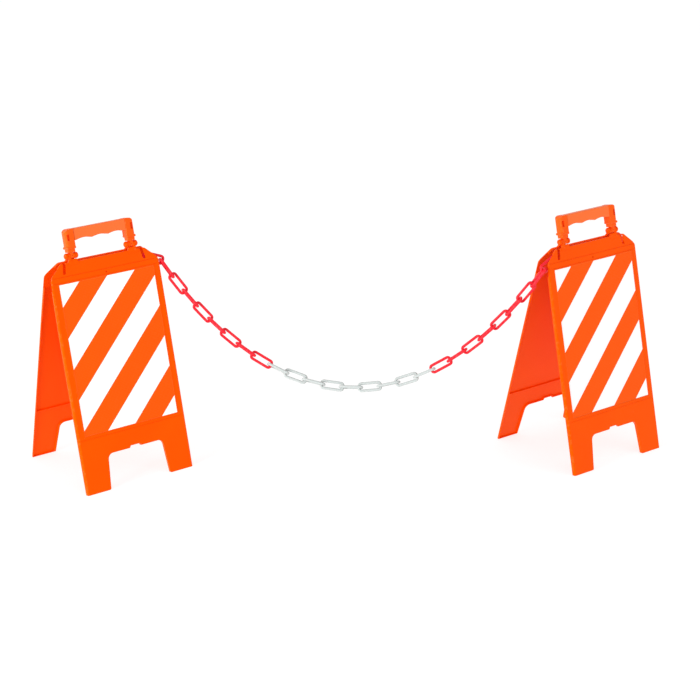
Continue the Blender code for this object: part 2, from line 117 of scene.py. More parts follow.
floor_material = bpy.data.materials.new("matt_white_table")
floor_material.use_nodes = True
floor_tree = floor_material.node_tree
floor_shader = floor_tree.nodes["Principled BSDF"]
floor_noise = floor_tree.nodes.new("ShaderNodeTexNoise")
floor_noise.inputs["Scale"].default_value = 3.0
floor_ramp = floor_tree.nodes.new("ShaderNodeValToRGB")
for stop, grey in zip(floor_ramp.color_ramp.elements, FLOOR_GREYS):
    stop.color = (grey, grey, grey, 1.0)
floor_tree.links.new(floor_noise.outputs["Fac"], floor_ramp.inputs["Fac"])
floor_tree.links.new(floor_ramp.outputs["Color"], floor_shader.inputs["Base Color"])
floor_shader.inputs["Roughness"].default_value = 0.9
floor_shader.inputs["Specular IOR Level"].default_value = 0.1
floor_shader.inputs["Emission Color"].default_value = (1.0, 1.0, 1.0, 1.0)
floor_shader.inputs["Emission Strength"].default_value = FLOOR_GLOW
floor.data.materials.append(floor_material)
print("floor radius", FLOOR_RADIUS)

# %% Light the studio
KIT_MIDDLE = Vector((0.0, 0.0, 0.3))
WORLD_STRENGTH = 0.74

bpy.context.scene.view_settings.view_transform = "Standard"
world = bpy.data.worlds.new("white_studio")
world.use_nodes = True
world.node_tree.nodes["Background"].inputs["Color"].default_value = (1.0, 1.0, 1.0, 1.0)
# the white world lights a little dimly, but the camera sees it as pure white
camera_share = world.node_tree.nodes.new("ShaderNodeLightPath").outputs["Is Camera Ray"]
strength = world.node_tree.nodes.new("ShaderNodeMath")
strength.operation = "MULTIPLY_ADD"
strength.inputs[1].default_value = 1.0 - WORLD_STRENGTH
strength.inputs[2].default_value = WORLD_STRENGTH
world.node_tree.links.new(camera_share, strength.inputs[0])
world.node_tree.links.new(strength.outputs[0], world.node_tree.nodes["Background"].inputs["Strength"])
bpy.context.scene.world = world


def softbox(name, place, size, power):
    lamp = bpy.data.lights.new(name, "AREA")
    lamp.size = size
    lamp.energy = power
    thing = show(lamp, name)
    thing.location = place
    thing.rotation_euler = (KIT_MIDDLE - Vector(place)).to_track_quat("-Z", "Y").to_euler()
    return thing


softbox("key_softbox", (2.4, -4.1, 2.0), 2.0, 30.0)
softbox("fill_softbox", (-4.6, -0.4, 1.2), 1.6, 170.0)

# %% [markdown]
# ## Where the moving pieces turn
#
# Each stand's hinge line is a joint of the CAD model. A panel opens as far as twice its lean, so
# the lean comes from the joint's range. A panel is built upright with its hinge line at the
# origin and its outer face towards -Y, and a matrix then leans it and carries it to its stand.

# %% Read the hinge lines
LEAN = math.radians(joints["left_fold"]["range_deg"][1] / 2.0)


def hinge_place(stand):
    return Vector(joints[stand + "_fold"]["pos_m"])


def panel_matrix(stand, rear):
    """From the upright panel to its leaning place."""
    turn = Matrix.Rotation(math.pi, 4, "Z") if rear else Matrix.Identity(4)
    return Matrix.Translation(hinge_place(stand)) @ turn @ Matrix.Rotation(-LEAN, 4, "X")


print("lean in degrees", round(math.degrees(LEAN), 2), "hinge height", round(hinge_place("left").z, 4))

# %% [markdown]
# ## Small modelling helpers
#
# Moulded plastic has no sharp edges: every rim has a radius, which is what catches the light.
# So each solid begins as a flat outline that is pushed to its depth, its corners are rounded
# with a first bevel, and its rims with a second. Pieces that meet are joined with an exact
# Boolean, because they leave the mould as one.

# %% Outline, push and bevel
def only(kind, items):
    """The items of one kind, such as the corners or edges that an operator has made."""
    return [item for item in items if isinstance(item, kind)]


def push_outline(points, low, high, axis="Y"):
    """A prism: an outline in the plane across an axis, pushed along it from low to high."""
    mesh = bmesh.new()
    slot = "XYZ".index(axis)
    face = mesh.faces.new([mesh.verts.new((*point[:slot], low, *point[slot:])) for point in points])
    grown = bmesh.ops.extrude_face_region(mesh, geom=[face])
    push = Vector((0.0, 0.0, 0.0))
    push[slot] = high - low
    bmesh.ops.translate(mesh, verts=only(bmesh.types.BMVert, grown["geom"]), vec=push)
    bmesh.ops.recalc_face_normals(mesh, faces=mesh.faces)
    return mesh


def round_edges(mesh, edges, width, segments=3):
    """Bevels a list of edges to a round of the given width."""
    bmesh.ops.bevel(mesh, geom=list(edges), offset=width, offset_type="OFFSET", segments=segments,
                    profile=0.5, affect="EDGES", material=-1, clamp_overlap=True)


def edges_where(mesh, test):
    """Edges for which test(first corner, second corner) is true."""
    return [edge for edge in mesh.edges if test(edge.verts[0].co, edge.verts[1].co)]


def round_corner(mesh, a, b, radius, segments=4, axis="Y"):
    """Rounds the pushed edge that stands on one corner of the outline."""
    def on_corner(point):
        u = point.x if axis == "Y" else point.y
        return abs(u - a) < 1e-6 and abs(point.z - b) < 1e-6

    round_edges(mesh, edges_where(mesh, lambda p, q: on_corner(p) and on_corner(q)), radius, segments)


def round_box(low, high, radius, segments=3):
    """A box with all its edges rounded."""
    mesh = bmesh.new()
    bmesh.ops.create_cube(mesh, size=1.0)
    low, high = Vector(low), Vector(high)
    size = high - low
    bmesh.ops.scale(mesh, verts=mesh.verts, vec=size)
    bmesh.ops.translate(mesh, verts=mesh.verts, vec=(low + high) / 2.0)
    if radius > 0.0:
        round_edges(mesh, mesh.edges, radius, segments)
    return mesh


def rod(radius, start, end, axis, place=(0.0, 0.0, 0.0), sides=32, soft=0.0):
    """A round rod along X or Y, with softened rims if wanted."""
    mesh = bmesh.new()
    bmesh.ops.create_cone(mesh, cap_ends=True, segments=sides, radius1=radius, radius2=radius,
                          depth=end - start)
    if soft > 0.0:
        rims = edges_where(mesh, lambda p, q: abs(p.z - q.z) < 1e-7)
        round_edges(mesh, rims, soft, 3)
    turn = Matrix.Rotation(math.radians(90.0), 4, "Y" if axis == "X" else "X")
    bmesh.ops.transform(mesh, matrix=turn, verts=mesh.verts)
    middle = (start + end) / 2.0
    shift = Vector((middle, 0.0, 0.0)) if axis == "X" else Vector((0.0, middle, 0.0))
    bmesh.ops.translate(mesh, verts=mesh.verts, vec=shift + Vector(place))
    bmesh.ops.recalc_face_normals(mesh, faces=mesh.faces)
    return mesh


print("helpers ready")


# %% Join and cut with Booleans
def assemble(name, body, steps):
    """Applies a list of (operation, bmesh) Booleans to a body, and returns one mesh."""
    piece = show(finish_mesh(body, name), name)
    guides = []
    for number, (operation, tool) in enumerate(steps):
        tool_name = "%s_tool_%02d" % (name, number)
        guide = show(finish_mesh(tool, tool_name), tool_name)
        modifier = piece.modifiers.new("step_%02d" % number, "BOOLEAN")
        modifier.operation = operation
        modifier.solver = "EXACT"
        modifier.object = guide
        guides.append(guide)
    bpy.context.view_layer.update()
    graph = bpy.context.evaluated_depsgraph_get()
    data = bpy.data.meshes.new_from_object(piece.evaluated_get(graph))
    data.name = name
    for thing in [piece] + guides:
        old = thing.data
        bpy.data.objects.remove(thing)
        bpy.data.meshes.remove(old)
    return data


# %% [markdown]
# ## One moulded panel
#
# A real panel is a shallow tray: a face about 4 mm thick with side walls turned inwards, an arch
# between its two feet, a finger notch in the crossbar, and a hood that leans back above a small
# step. The outer rim has a generous round, and the wall's inner edges a small one. We start from
# a few corners, push them, round them, and sink the pocket from behind with an inset. The two
# long sides are rounder still. A bevel that wide would eat the feet's corners, so a prism with
# rounded corners trims the sides instead.

# %% Panel sizes
HALF_WIDTH = 0.1535
PIN_HEIGHT = 0.592
FACE = 0.0085
POCKET_FLOOR = 0.0046
RIM = 0.00025
WALL = 0.003
RIM_ROUND = 0.0030
BACK_ROUND = 0.0009
POCKET_ROUND = 0.0014
SIDE_ROUND = 0.0070
SIDE_CREASE = 0.00015  # how far the broad round misses the flat faces
SIDE_STEPS = 10
SIDE_MARGIN = 0.01  # the side trim reaches this far past both ends
BEHIND = 0.003  # where a tool ends behind the middle plane
SOFT_CORNER_STEPS = 6
FRONT_STEEPNESS = 0.7  # a face that looks forward leans less than this
SIDE_STEEPNESS = 0.3
CREASE_LOW = 0.5440
CREASE_STEP = 0.0010
HOOD_TOP = 0.577
HOOD_LEAN = 0.0022
SHEET_HALF_WIDTH = 0.133
SHEET_BOTTOM = 0.147
SHEET_HEIGHT = 0.381
RECESS_DEPTH = 0.0011
GAP = 0.0003
LEG_X = 0.0835
EAR_INNER = 0.004
EAR_OUTER = 0.010
EAR_RADIUS = 0.0075
PIN_HOLE = 0.0033

# outline corners from the notch to the hood: across, height over the foot, corner radius
HALF_OUTLINE = [
    (0.013, 0.0955, 0.0),
    (0.016, 0.0900, 0.0),
    (0.078, 0.0900, 0.013),
    (0.086, 0.0000, 0.004),
    (HALF_WIDTH, 0.0000, 0.004),
    (HALF_WIDTH, 0.4000, 0.0),
    (0.151, 0.5460, 0.0085),
    (0.117, HOOD_TOP, 0.004),
]


# %% The tray
def on_front(point):
    return point.y < -FACE + 1e-6


def make_tray():
    """The panel before its hinge ears, slots and recess."""
    right = [(x, s - PIN_HEIGHT) for x, s, _ in HALF_OUTLINE]
    left = [(-x, z) for x, z in reversed(right)]
    mesh = push_outline(right + left, -FACE, -RIM)
    for x, s, radius in HALF_OUTLINE:
        if radius > 0.0:
            round_corner(mesh, x, s - PIN_HEIGHT, radius, SOFT_CORNER_STEPS)
            round_corner(mesh, -x, s - PIN_HEIGHT, radius, SOFT_CORNER_STEPS)

    for height in (CREASE_LOW, CREASE_LOW + CREASE_STEP):
        front = [face for face in mesh.faces if all(on_front(corner.co) for corner in face.verts)]
        around = {edge for face in front for edge in face.edges}
        corners = {corner for face in front for corner in face.verts}
        bmesh.ops.bisect_plane(mesh, geom=front + list(around) + list(corners), dist=1e-7,
                               plane_co=(0.0, 0.0, height - PIN_HEIGHT), plane_no=(0.0, 0.0, 1.0))
    step_top = CREASE_LOW + CREASE_STEP - PIN_HEIGHT
    for corner in mesh.verts:
        if on_front(corner.co) and corner.co.z > step_top - 1e-6:
            share = (corner.co.z - step_top) / (HOOD_TOP - PIN_HEIGHT - step_top)
            corner.co.y += CREASE_STEP + HOOD_LEAN * share

    inner = max(mesh.faces, key=lambda side: side.calc_center_median().y)
    back_rim = list(inner.edges)
    bmesh.ops.inset_region(mesh, faces=[inner], thickness=WALL, use_even_offset=True)
    inner_rim = list(inner.edges)
    sunk = bmesh.ops.extrude_face_region(mesh, geom=[inner])
    deep = only(bmesh.types.BMVert, sunk["geom"])
    floor_edges = only(bmesh.types.BMEdge, sunk["geom"])
    bmesh.ops.delete(mesh, geom=[inner], context="FACES_ONLY")
    bmesh.ops.translate(mesh, verts=deep, vec=(0.0, RIM - POCKET_FLOOR, 0.0))
    bmesh.ops.recalc_face_normals(mesh, faces=mesh.faces)

    round_edges(mesh, floor_edges, POCKET_ROUND, 3)
    round_edges(mesh, [edge for edge in back_rim + inner_rim if edge.is_valid], BACK_ROUND, 2)
    front_limit = -FACE + HOOD_LEAN + CREASE_STEP + 1e-5
    front_rim = []
    for edge in mesh.edges:
        if len(edge.link_faces) == 2 and all(corner.co.y < front_limit for corner in edge.verts):
            sideways = [abs(face.normal.y) < SIDE_STEEPNESS for face in edge.link_faces]
            facing = [face.normal.y < -FRONT_STEEPNESS for face in edge.link_faces]
            if any(sideways) and any(facing):
                front_rim.append(edge)
    round_edges(mesh, front_rim, RIM_ROUND, 4)
    return mesh


def make_side_trim():
    """A prism along Z whose front corners are broad rounds. It trims the tray's two sides."""
    profile = []
    for step in range(SIDE_STEPS + 1):
        angle = math.radians(90.0 * step / SIDE_STEPS)
        profile.append((HALF_WIDTH - SIDE_ROUND + (SIDE_ROUND + SIDE_CREASE) * math.cos(angle),
                        -FACE + SIDE_ROUND - (SIDE_ROUND + SIDE_CREASE) * math.sin(angle)))
    outline = [(HALF_WIDTH + SIDE_CREASE, BEHIND)] + profile
    outline += [(-x, y) for x, y in reversed(outline)]
    return push_outline(outline, -PIN_HEIGHT - SIDE_MARGIN, SIDE_MARGIN, "Z")


tray_test = make_tray()
open_edges = sum(not edge.is_manifold for edge in tray_test.edges)
print("tray faces", len(tray_test.faces), "open edges", open_edges)
tray_test.free()


# %% [markdown]
# ### Ears, pegs and cuts
#
# The hood carries two hinge ears. Each grows from a short post that spreads where it meets the
# hood, so the load runs into the panel. The front panel's ears sit outside the handle's tongues
# and the rear panel's inside, so all six eyes share two pins. Behind each shoulder a slot lets
# the chain's end link in, and the front panel has a peg there and a slot beside it. The sheet
# lies in a shallow recess inside a raised bead, which guards its edges. Cutters never end level
# with a face, because an exact Boolean leaves gaps where two faces lie in one plane.

# %% Hinge ear
EAR_STEM_BOTTOM = -0.0185  # heights and depths count from the hinge line
EAR_SHOULDER = -0.012
EAR_KNEE = -0.0078
EAR_STEM_FRONT = -0.0062
EAR_BACK = -0.0010
EAR_SOFT = 0.0007
EYE_STEPS = 16


def eye_arc(first, sweep):
    """Points (y, z) round the hinge line, from one angle through a sweep, in degrees."""
    angles = [math.radians(first + sweep * step / EYE_STEPS) for step in range(EYE_STEPS + 1)]
    return [(EAR_RADIUS * math.cos(angle), EAR_RADIUS * math.sin(angle)) for angle in angles]


def make_ear(side, inward):
    """A round eye on the hinge line with its stem."""
    near = LEG_X - EAR_OUTER if inward else LEG_X + EAR_INNER
    far = LEG_X - EAR_INNER if inward else LEG_X + EAR_OUTER
    low, high = sorted((side * near, side * far))
    profile = [(EAR_STEM_FRONT, EAR_STEM_BOTTOM), (-EAR_RADIUS, EAR_SHOULDER)]
    profile += eye_arc(180.0, -225.0)
    profile += [(EAR_BACK, EAR_KNEE), (EAR_BACK, EAR_STEM_BOTTOM)]
    mesh = push_outline(profile, low, high, "X")
    rims = edges_where(mesh, lambda p, q: abs(p.x - q.x) < 1e-7)
    round_edges(mesh, rims, EAR_SOFT, 2)
    return mesh


print("ear eye radius", EAR_RADIUS)

# %% Post under the ears
POST_HEIGHTS = (-0.0220, -0.0165, -0.0120, -0.0083)  # foot, foot's edge, waist and top
POST_HALF_WIDTHS = (0.0150, 0.0150, 0.0105, 0.0105)
POST_FRONT = -0.0064
POST_BACK = -0.0008
POST_ROUND = 0.003


def make_post(side):
    """The spreading foot of the ears, under the handle's tongue."""
    half = list(zip(POST_HALF_WIDTHS, POST_HEIGHTS))
    outline = half + [(-x, z) for x, z in reversed(half)]
    mesh = push_outline([(side * LEG_X + x, z) for x, z in outline], POST_FRONT, POST_BACK)
    for width, height in half[1:3]:
        round_corner(mesh, side * LEG_X + width, height, POST_ROUND)
        round_corner(mesh, side * LEG_X - width, height, POST_ROUND)
    return mesh


print("post height", round(POST_HEIGHTS[3] - POST_HEIGHTS[0], 4))

# %% Hinge, side slot, peg and shoulder slot
ROOT = 0.001  # how far a joined shape sinks into its neighbour
PAST = 0.002  # how far a cutter reaches past the face it cuts
THROUGH = 0.02  # and how far if it goes right through a panel
SIDE_SLOT_INNER = 0.126
SIDE_SLOT_LOW = 0.514
SIDE_SLOT_HIGH = 0.567
SIDE_SLOT_SINK = 0.0002
PEG_X = 0.121
PEG_HEIGHT = 0.553
PEG_RADIUS = 0.003
PEG_END = 0.0042
PEG_SOFT = 0.0006
LINK_SLOT = [(0.1020, 0.5830), (0.1110, 0.5830), (0.1165, 0.5500), (0.1080, 0.5500)]
LINK_SLOT_ROUND = 0.0028
SMALL_SIDES = 24  # round shapes a few millimetres across


def make_link_slot(side):
    """The slot that runs down from the hood's top edge, between the post and the shoulder."""
    mesh = push_outline([(side * x, s - PIN_HEIGHT) for x, s in LINK_SLOT], -THROUGH, BEHIND)
    for x, s in LINK_SLOT[2:]:
        round_corner(mesh, side * x, s - PIN_HEIGHT, LINK_SLOT_ROUND, 5)
    return mesh


def pin_bore(x):
    """The hole for a hinge pin, through an eye or a tongue."""
    reach = EAR_OUTER + PAST
    return rod(PIN_HOLE, -reach, reach, "X", (x, 0.0, 0.0), SMALL_SIDES)


def shoulder_steps(side, rear):
    """Joins and cuts at one end of the hood."""
    base = -PIN_HEIGHT
    low, high = sorted((side * SIDE_SLOT_INNER, side * (HALF_WIDTH + 0.01)))
    side_slot = round_box((low, -POCKET_FLOOR - SIDE_SLOT_SINK, base + SIDE_SLOT_LOW),
                          (high, 0.004, base + SIDE_SLOT_HIGH), 0.0)
    steps = [("UNION", make_post(side)), ("UNION", make_ear(side, rear)),
             ("DIFFERENCE", pin_bore(side * LEG_X)), ("DIFFERENCE", side_slot)]
    if not rear:
        peg = rod(PEG_RADIUS, -POCKET_FLOOR - ROOT, PEG_END, "Y",
                  (side * PEG_X, 0.0, base + PEG_HEIGHT), SMALL_SIDES, PEG_SOFT)
        steps += [("DIFFERENCE", make_link_slot(side)), ("UNION", peg)]
    return steps


print("peg reach past the middle plane", PEG_END)

# %% Sheet recess, grooves and feet
BEAD_WIDTH = 0.0026
BEAD_RISE = 0.0006
BEAD_SOFT = 0.0005
GROOVE_HALF = 0.0006
# height over the foot, reach to each side, depth: under the sheet, over it, and at the crease
GROOVES = ((0.1380, 0.1450, 0.0009), (0.5316, 0.1440, 0.0008), (0.5449, 0.1460, 0.0016))
HANG_HOLE_HEIGHT = 0.537
HANG_HOLE_RADIUS = 0.0022
RIB_LOW = 0.143
RIB_HIGH = 0.1455
RIB_SOFT = 0.0006
FLOOR_PAST = 0.004  # the floor's cutter stands this far past both faces
FLOOR_REACH = 0.2  # and this far to each side


def make_rib():
    """A low rib across the tray's back, level with the crossbar."""
    return round_box((-HALF_WIDTH + 0.002, -POCKET_FLOOR - ROOT, RIB_LOW - PIN_HEIGHT),
                     (HALF_WIDTH - 0.002, -RIM - 0.0004, RIB_HIGH - PIN_HEIGHT), RIB_SOFT, 2)


def face_steps():
    """The bead and recess for the sheet, the grooves, and the hole to hang the stand by."""
    reach = SHEET_HALF_WIDTH + GAP
    low = SHEET_BOTTOM - GAP - PIN_HEIGHT
    high = SHEET_BOTTOM + SHEET_HEIGHT + GAP - PIN_HEIGHT
    bead = round_box((-reach - BEAD_WIDTH, -FACE - BEAD_RISE, low - BEAD_WIDTH),
                     (reach + BEAD_WIDTH, -FACE + ROOT, high + BEAD_WIDTH), BEAD_SOFT, 2)
    steps = [("UNION", bead)]
    for height, side_reach, depth in GROOVES:
        groove = round_box((-side_reach, -FACE - PAST, height - GROOVE_HALF - PIN_HEIGHT),
                           (side_reach, -FACE + depth, height + GROOVE_HALF - PIN_HEIGHT), 0.0)
        steps.append(("DIFFERENCE", groove))
    recess = round_box((-reach, -FACE - PAST, low), (reach, -FACE + RECESS_DEPTH, high), 0.0)
    hang_hole = rod(HANG_HOLE_RADIUS, -THROUGH, THROUGH, "Y",
                    (0.0, 0.0, HANG_HOLE_HEIGHT - PIN_HEIGHT), 20)
    return steps + [("DIFFERENCE", recess), ("DIFFERENCE", hang_hole)]


def make_floor_cut():
    """Everything below the floor once the panel leans, so the feet stand flat."""
    rise = math.tan(LEAN)
    front, back, foot, deep = -FACE - FLOOR_PAST, FLOOR_PAST, -PIN_HEIGHT, -PIN_HEIGHT - THROUGH
    below = [(front, foot - FLOOR_PAST * rise), (back, foot + (FACE + FLOOR_PAST) * rise),
             (back, deep), (front, deep)]
    return push_outline(below, -FLOOR_REACH, FLOOR_REACH, "X")


print("grooves", len(GROOVES))


# %% The finished panel shape
def make_panel_shape(name, rear):
    """The whole moulding, upright, with its hinge line at the origin."""
    steps = [("INTERSECT", make_side_trim()), ("UNION", make_rib())]
    for side in (-1, 1):
        steps += shoulder_steps(side, rear)
    steps += face_steps()
    steps.append(("DIFFERENCE", make_floor_cut()))
    return assemble(name, make_tray(), steps)


front_shape = make_panel_shape("front_moulding", False)
rear_shape = make_panel_shape("rear_moulding", True)
for shape in (front_shape, rear_shape):
    across = max(abs(corner.co.x) for corner in shape.vertices)
    print(shape.name, "faces", len(shape.polygons), "half width", round(across, 5))

# %% [markdown]
# ## The striped sheet
#
# Barricade sheeting is a thin plastic film with tiny lenses in it. It is cut square and laid in
# the recess, so it is a thin plate with a slightly softened edge. It gets a UV map in metres,
# with its lower left corner at zero, so one material can stripe all four sheets alike.

# %% The sheet
SHEET_THICKNESS = 0.0008
SHEET_CORNER = 0.0015
SHEET_SOFT = 0.0002


def make_sheet_shape():
    base = -PIN_HEIGHT + SHEET_BOTTOM
    back = -FACE + RECESS_DEPTH - GAP
    mesh = round_box((-SHEET_HALF_WIDTH, back - SHEET_THICKNESS, base),
                     (SHEET_HALF_WIDTH, back, base + SHEET_HEIGHT), 0.0)
    upright = edges_where(mesh, lambda p, q: abs(p.x - q.x) < 1e-7 and abs(p.z - q.z) < 1e-7)
    round_edges(mesh, upright, SHEET_CORNER, 3)
    skin = back - SHEET_THICKNESS + 1e-6
    front = edges_where(mesh, lambda p, q: p.y < skin and q.y < skin)
    round_edges(mesh, front, SHEET_SOFT, 2)
    layer = mesh.loops.layers.uv.new("sheet_map")
    for face in mesh.faces:
        for loop in face.loops:
            loop[layer].uv = (loop.vert.co.x + SHEET_HALF_WIDTH, loop.vert.co.z - base)
    return finish_mesh(mesh, "sheet_shape")


sheet_shape = make_sheet_shape()
print("sheet faces", len(sheet_shape.polygons))

# %% [markdown]
# ## The carrying handle
#
# The handle is a frame of two stout legs and a crossbar, with a softer finger grip moulded over
# the bar. Each leg has a rounded outer shoulder, a small pocket that thins the plastic, a bead
# at its foot and a narrower neck that ends in a tongue between the panels' ears.

# %% Handle frame
HANDLE_TOP = 0.066
LEG_BOTTOM = 0.018
LEG_HALF = 0.0115
HANDLE_DEPTH = 0.0125
HANDLE_CORNER = 0.013
LEG_PLAN_ROUND = 0.0070
GRIP_BOTTOM = 0.036
BAR_DEPTH = 0.006
BAR_LOW = 0.045
BAR_HIGH = 0.058
LEG_SOFT = 0.0012
BEAD_HALF, BEAD_LOW, BEAD_HIGH, BEAD_ROUND = 0.0130, 0.0168, 0.0232, 0.0031
NECK_HALF, NECK_DEPTH, NECK_LOW, NECK_HIGH, NECK_ROUND = 0.010, 0.0095, 0.0085, LEG_BOTTOM + 0.003, 0.0016
POCKET_OUTWARD, POCKET_HALF, POCKET_LOW, POCKET_HIGH, POCKET_DEPTH = 0.0045, 0.0036, 0.0375, 0.0530, 0.006
TONGUE_TOP = 0.010
DIMPLE_RADIUS = 0.0011


def make_leg(side):
    """The front view of a leg: a rounded outer shoulder and soft rims."""
    outer, inner = side * (LEG_X + LEG_HALF), side * (LEG_X - LEG_HALF)
    points = [(inner, LEG_BOTTOM), (outer, LEG_BOTTOM), (outer, HANDLE_TOP), (inner, HANDLE_TOP)]
    mesh = push_outline(points, -HANDLE_DEPTH, HANDLE_DEPTH)
    round_corner(mesh, outer, HANDLE_TOP, HANDLE_CORNER, 8)
    rims = edges_where(mesh, lambda p, q: abs(p.y - q.y) < 1e-7 and abs(abs(p.y) - HANDLE_DEPTH) < 1e-7)
    round_edges(mesh, rims, LEG_SOFT, 3)
    return mesh


def make_leg_plan():
    """The top view of both legs: outer corners with a large round. It trims the legs."""
    reach = LEG_X + LEG_HALF
    mesh = bmesh.new()
    bmesh.ops.create_cube(mesh, size=1.0)
    bmesh.ops.scale(mesh, verts=mesh.verts, vec=(2.0 * reach, 2.0 * HANDLE_DEPTH, 0.2))
    uprights = edges_where(mesh, lambda p, q: abs(p.x - q.x) < 1e-7 and abs(p.y - q.y) < 1e-7)
    round_edges(mesh, uprights, LEG_PLAN_ROUND, 6)
    return mesh


def centred_box(middle, half_width, half_depth, low, high, soft, segments):
    """A rounded box about a leg's middle line."""
    return round_box((middle - half_width, -half_depth, low), (middle + half_width, half_depth, high),
                     soft, segments)


def leg_steps(side):
    """The bead, neck, tongue, pin bore, pocket and dimple of one leg."""
    middle = side * LEG_X
    profile = [(EAR_RADIUS, TONGUE_TOP), (-EAR_RADIUS, TONGUE_TOP)] + eye_arc(180.0, 180.0)
    tongue = push_outline(profile, middle - EAR_INNER + GAP, middle + EAR_INNER - GAP, "X")
    outward = middle + side * POCKET_OUTWARD
    pocket = round_box((outward - POCKET_HALF, -HANDLE_DEPTH - PAST, POCKET_LOW),
                       (outward + POCKET_HALF, -HANDLE_DEPTH + POCKET_DEPTH, POCKET_HIGH), LEG_SOFT, 3)
    return [("UNION", centred_box(middle, BEAD_HALF, BEAD_HALF, BEAD_LOW, BEAD_HIGH, BEAD_ROUND, 5)),
            ("UNION", centred_box(middle, NECK_HALF, NECK_DEPTH, NECK_LOW, NECK_HIGH, NECK_ROUND, 3)),
            ("UNION", tongue), ("DIFFERENCE", pin_bore(middle)), ("DIFFERENCE", pocket),
            ("DIFFERENCE", rod(DIMPLE_RADIUS, -0.010, -0.0045, "Y", (middle, 0.0, 0.0005), 16))]


def make_handle_shape():
    """Both legs, the bar, beads, necks and tongues."""
    reach = LEG_X - LEG_HALF + 0.002
    bar = round_box((-reach, -BAR_DEPTH, BAR_LOW), (reach, BAR_DEPTH, BAR_HIGH), 0.001, 2)
    steps = [("UNION", make_leg(-1)), ("INTERSECT", make_leg_plan()), ("UNION", bar)]
    return assemble("handle_shape", make_leg(1), steps + leg_steps(-1) + leg_steps(1))


handle_shape = make_handle_shape()
print("handle faces", len(handle_shape.polygons))

# %% Finger grip
GRIP_HALF = 0.0713
GRIP_DEPTH = 0.0115
SCALLOPS = 3
SCALLOP_DEPTH = 0.0035
SCALLOP_STEPS = 12
GRIP_END = 0.004  # the straight part beyond the scallops
GRIP_ROUND = 0.0032


def make_grip_shape():
    """The grip: a bar with finger scallops below, with soft long edges, hollow for the frame's bar."""
    points = [(-GRIP_HALF, HANDLE_TOP - GAP), (-GRIP_HALF, GRIP_BOTTOM)]
    pitch = 2.0 * (GRIP_HALF - GRIP_END) / SCALLOPS
    for scallop in range(SCALLOPS):
        start = -GRIP_HALF + GRIP_END + scallop * pitch
        for step in range(SCALLOP_STEPS):
            share = step / SCALLOP_STEPS
            rise = SCALLOP_DEPTH * math.sin(math.pi * share)
            points.append((start + share * pitch, GRIP_BOTTOM + rise))
    points += [(GRIP_HALF - GRIP_END, GRIP_BOTTOM), (GRIP_HALF, GRIP_BOTTOM),
               (GRIP_HALF, HANDLE_TOP - GAP)]
    mesh = push_outline(points, -GRIP_DEPTH, GRIP_DEPTH)
    long_rims = edges_where(mesh, lambda p, q: abs(p.y - q.y) < 1e-7 and abs(p.x - q.x) > 1e-6)
    round_edges(mesh, long_rims, GRIP_ROUND, 4)
    channel = centred_box(0.0, 0.09, BAR_DEPTH + GAP, BAR_LOW - GAP, BAR_HIGH + GAP, 0.0, 1)
    return assemble("grip_shape", mesh, [("DIFFERENCE", channel)])


grip_shape = make_grip_shape()
print("grip faces", len(grip_shape.polygons))

# %% [markdown]
# ## Hinge pins and caps
#
# Each hinge is a plastic pin with a domed head, and a matching cap pressed over its other end.
# Both are turned shapes, so a half outline is spun round the hinge line. A shallow gate dimple in
# the middle of the dome marks where the plastic entered the mould.

# %% Pins and caps
PIN_RADIUS = 0.003
PIN_END = 0.0150
KNOB_RADIUS = 0.0078
KNOB_LENGTH = 0.0088
KNOB_STRAIGHT = 0.003  # the knob's straight side, before its dome
DOME_STEPS = 10


def dome(base):
    """Half outline of a knob from its flat face outwards, as (x, radius)."""
    points = [(base, KNOB_RADIUS - 0.0007), (base + 0.0002, KNOB_RADIUS - 0.0002),
              (base + 0.0007, KNOB_RADIUS)]
    for step in range(DOME_STEPS):
        angle = math.radians(90.0 * step / DOME_STEPS)
        points.append((base + KNOB_STRAIGHT + (KNOB_LENGTH - KNOB_STRAIGHT) * math.sin(angle),
                       KNOB_RADIUS * math.cos(angle)))
    points += [(base + KNOB_LENGTH - 0.0001, 0.0009), (base + KNOB_LENGTH - 0.0006, 0.0)]
    return points


def spin_profile(name, profile, sides=32):
    mesh = bmesh.new()
    points = [mesh.verts.new((x, 0.0, radius)) for x, radius in profile]
    edges = [mesh.edges.new(pair) for pair in zip(points, points[1:])]
    bmesh.ops.spin(mesh, geom=points + edges, cent=(0.0, 0.0, 0.0), axis=(1.0, 0.0, 0.0),
                   angle=2.0 * math.pi, steps=sides, use_merge=True)
    bmesh.ops.remove_doubles(mesh, verts=mesh.verts, dist=0.00001)
    bmesh.ops.recalc_face_normals(mesh, faces=mesh.faces)
    return finish_mesh(mesh, name)


HEAD_FACE = EAR_OUTER + GAP
shank = [(-PIN_END, 0.0), (-PIN_END, PIN_RADIUS), (HEAD_FACE, PIN_RADIUS)]
socket = [(-PIN_END - GAP, 0.0), (-PIN_END - GAP, PIN_HOLE), (-HEAD_FACE, PIN_HOLE)]
pin_shape = spin_profile("pin_shape", shank + dome(HEAD_FACE))
cap_shape = spin_profile("cap_shape", socket + [(-x, radius) for x, radius in dome(HEAD_FACE)])
print("pin faces", len(pin_shape.polygons), "cap faces", len(cap_shape.polygons))

# %% [markdown]
# ## A chain link
#
# Plastic chain links are moulded as long rounded rectangles of round wire. The mould's two halves
# leave a thin parting ridge along the wire. We spin and extrude a ring of points round the link:
# straight, quarter turn, straight, quarter turn. That follows the real wire, which keeps its
# thickness through the corners.

# %% The link
LINK_LENGTH = 0.0635
LINK_WIDTH = 0.026
WIRE_RADIUS = 0.0036
LINK_CORNER = 0.0065
PARTING_RIDGE = 0.00015
WIRE_SIDES = 16
CORNER_STEPS = 6


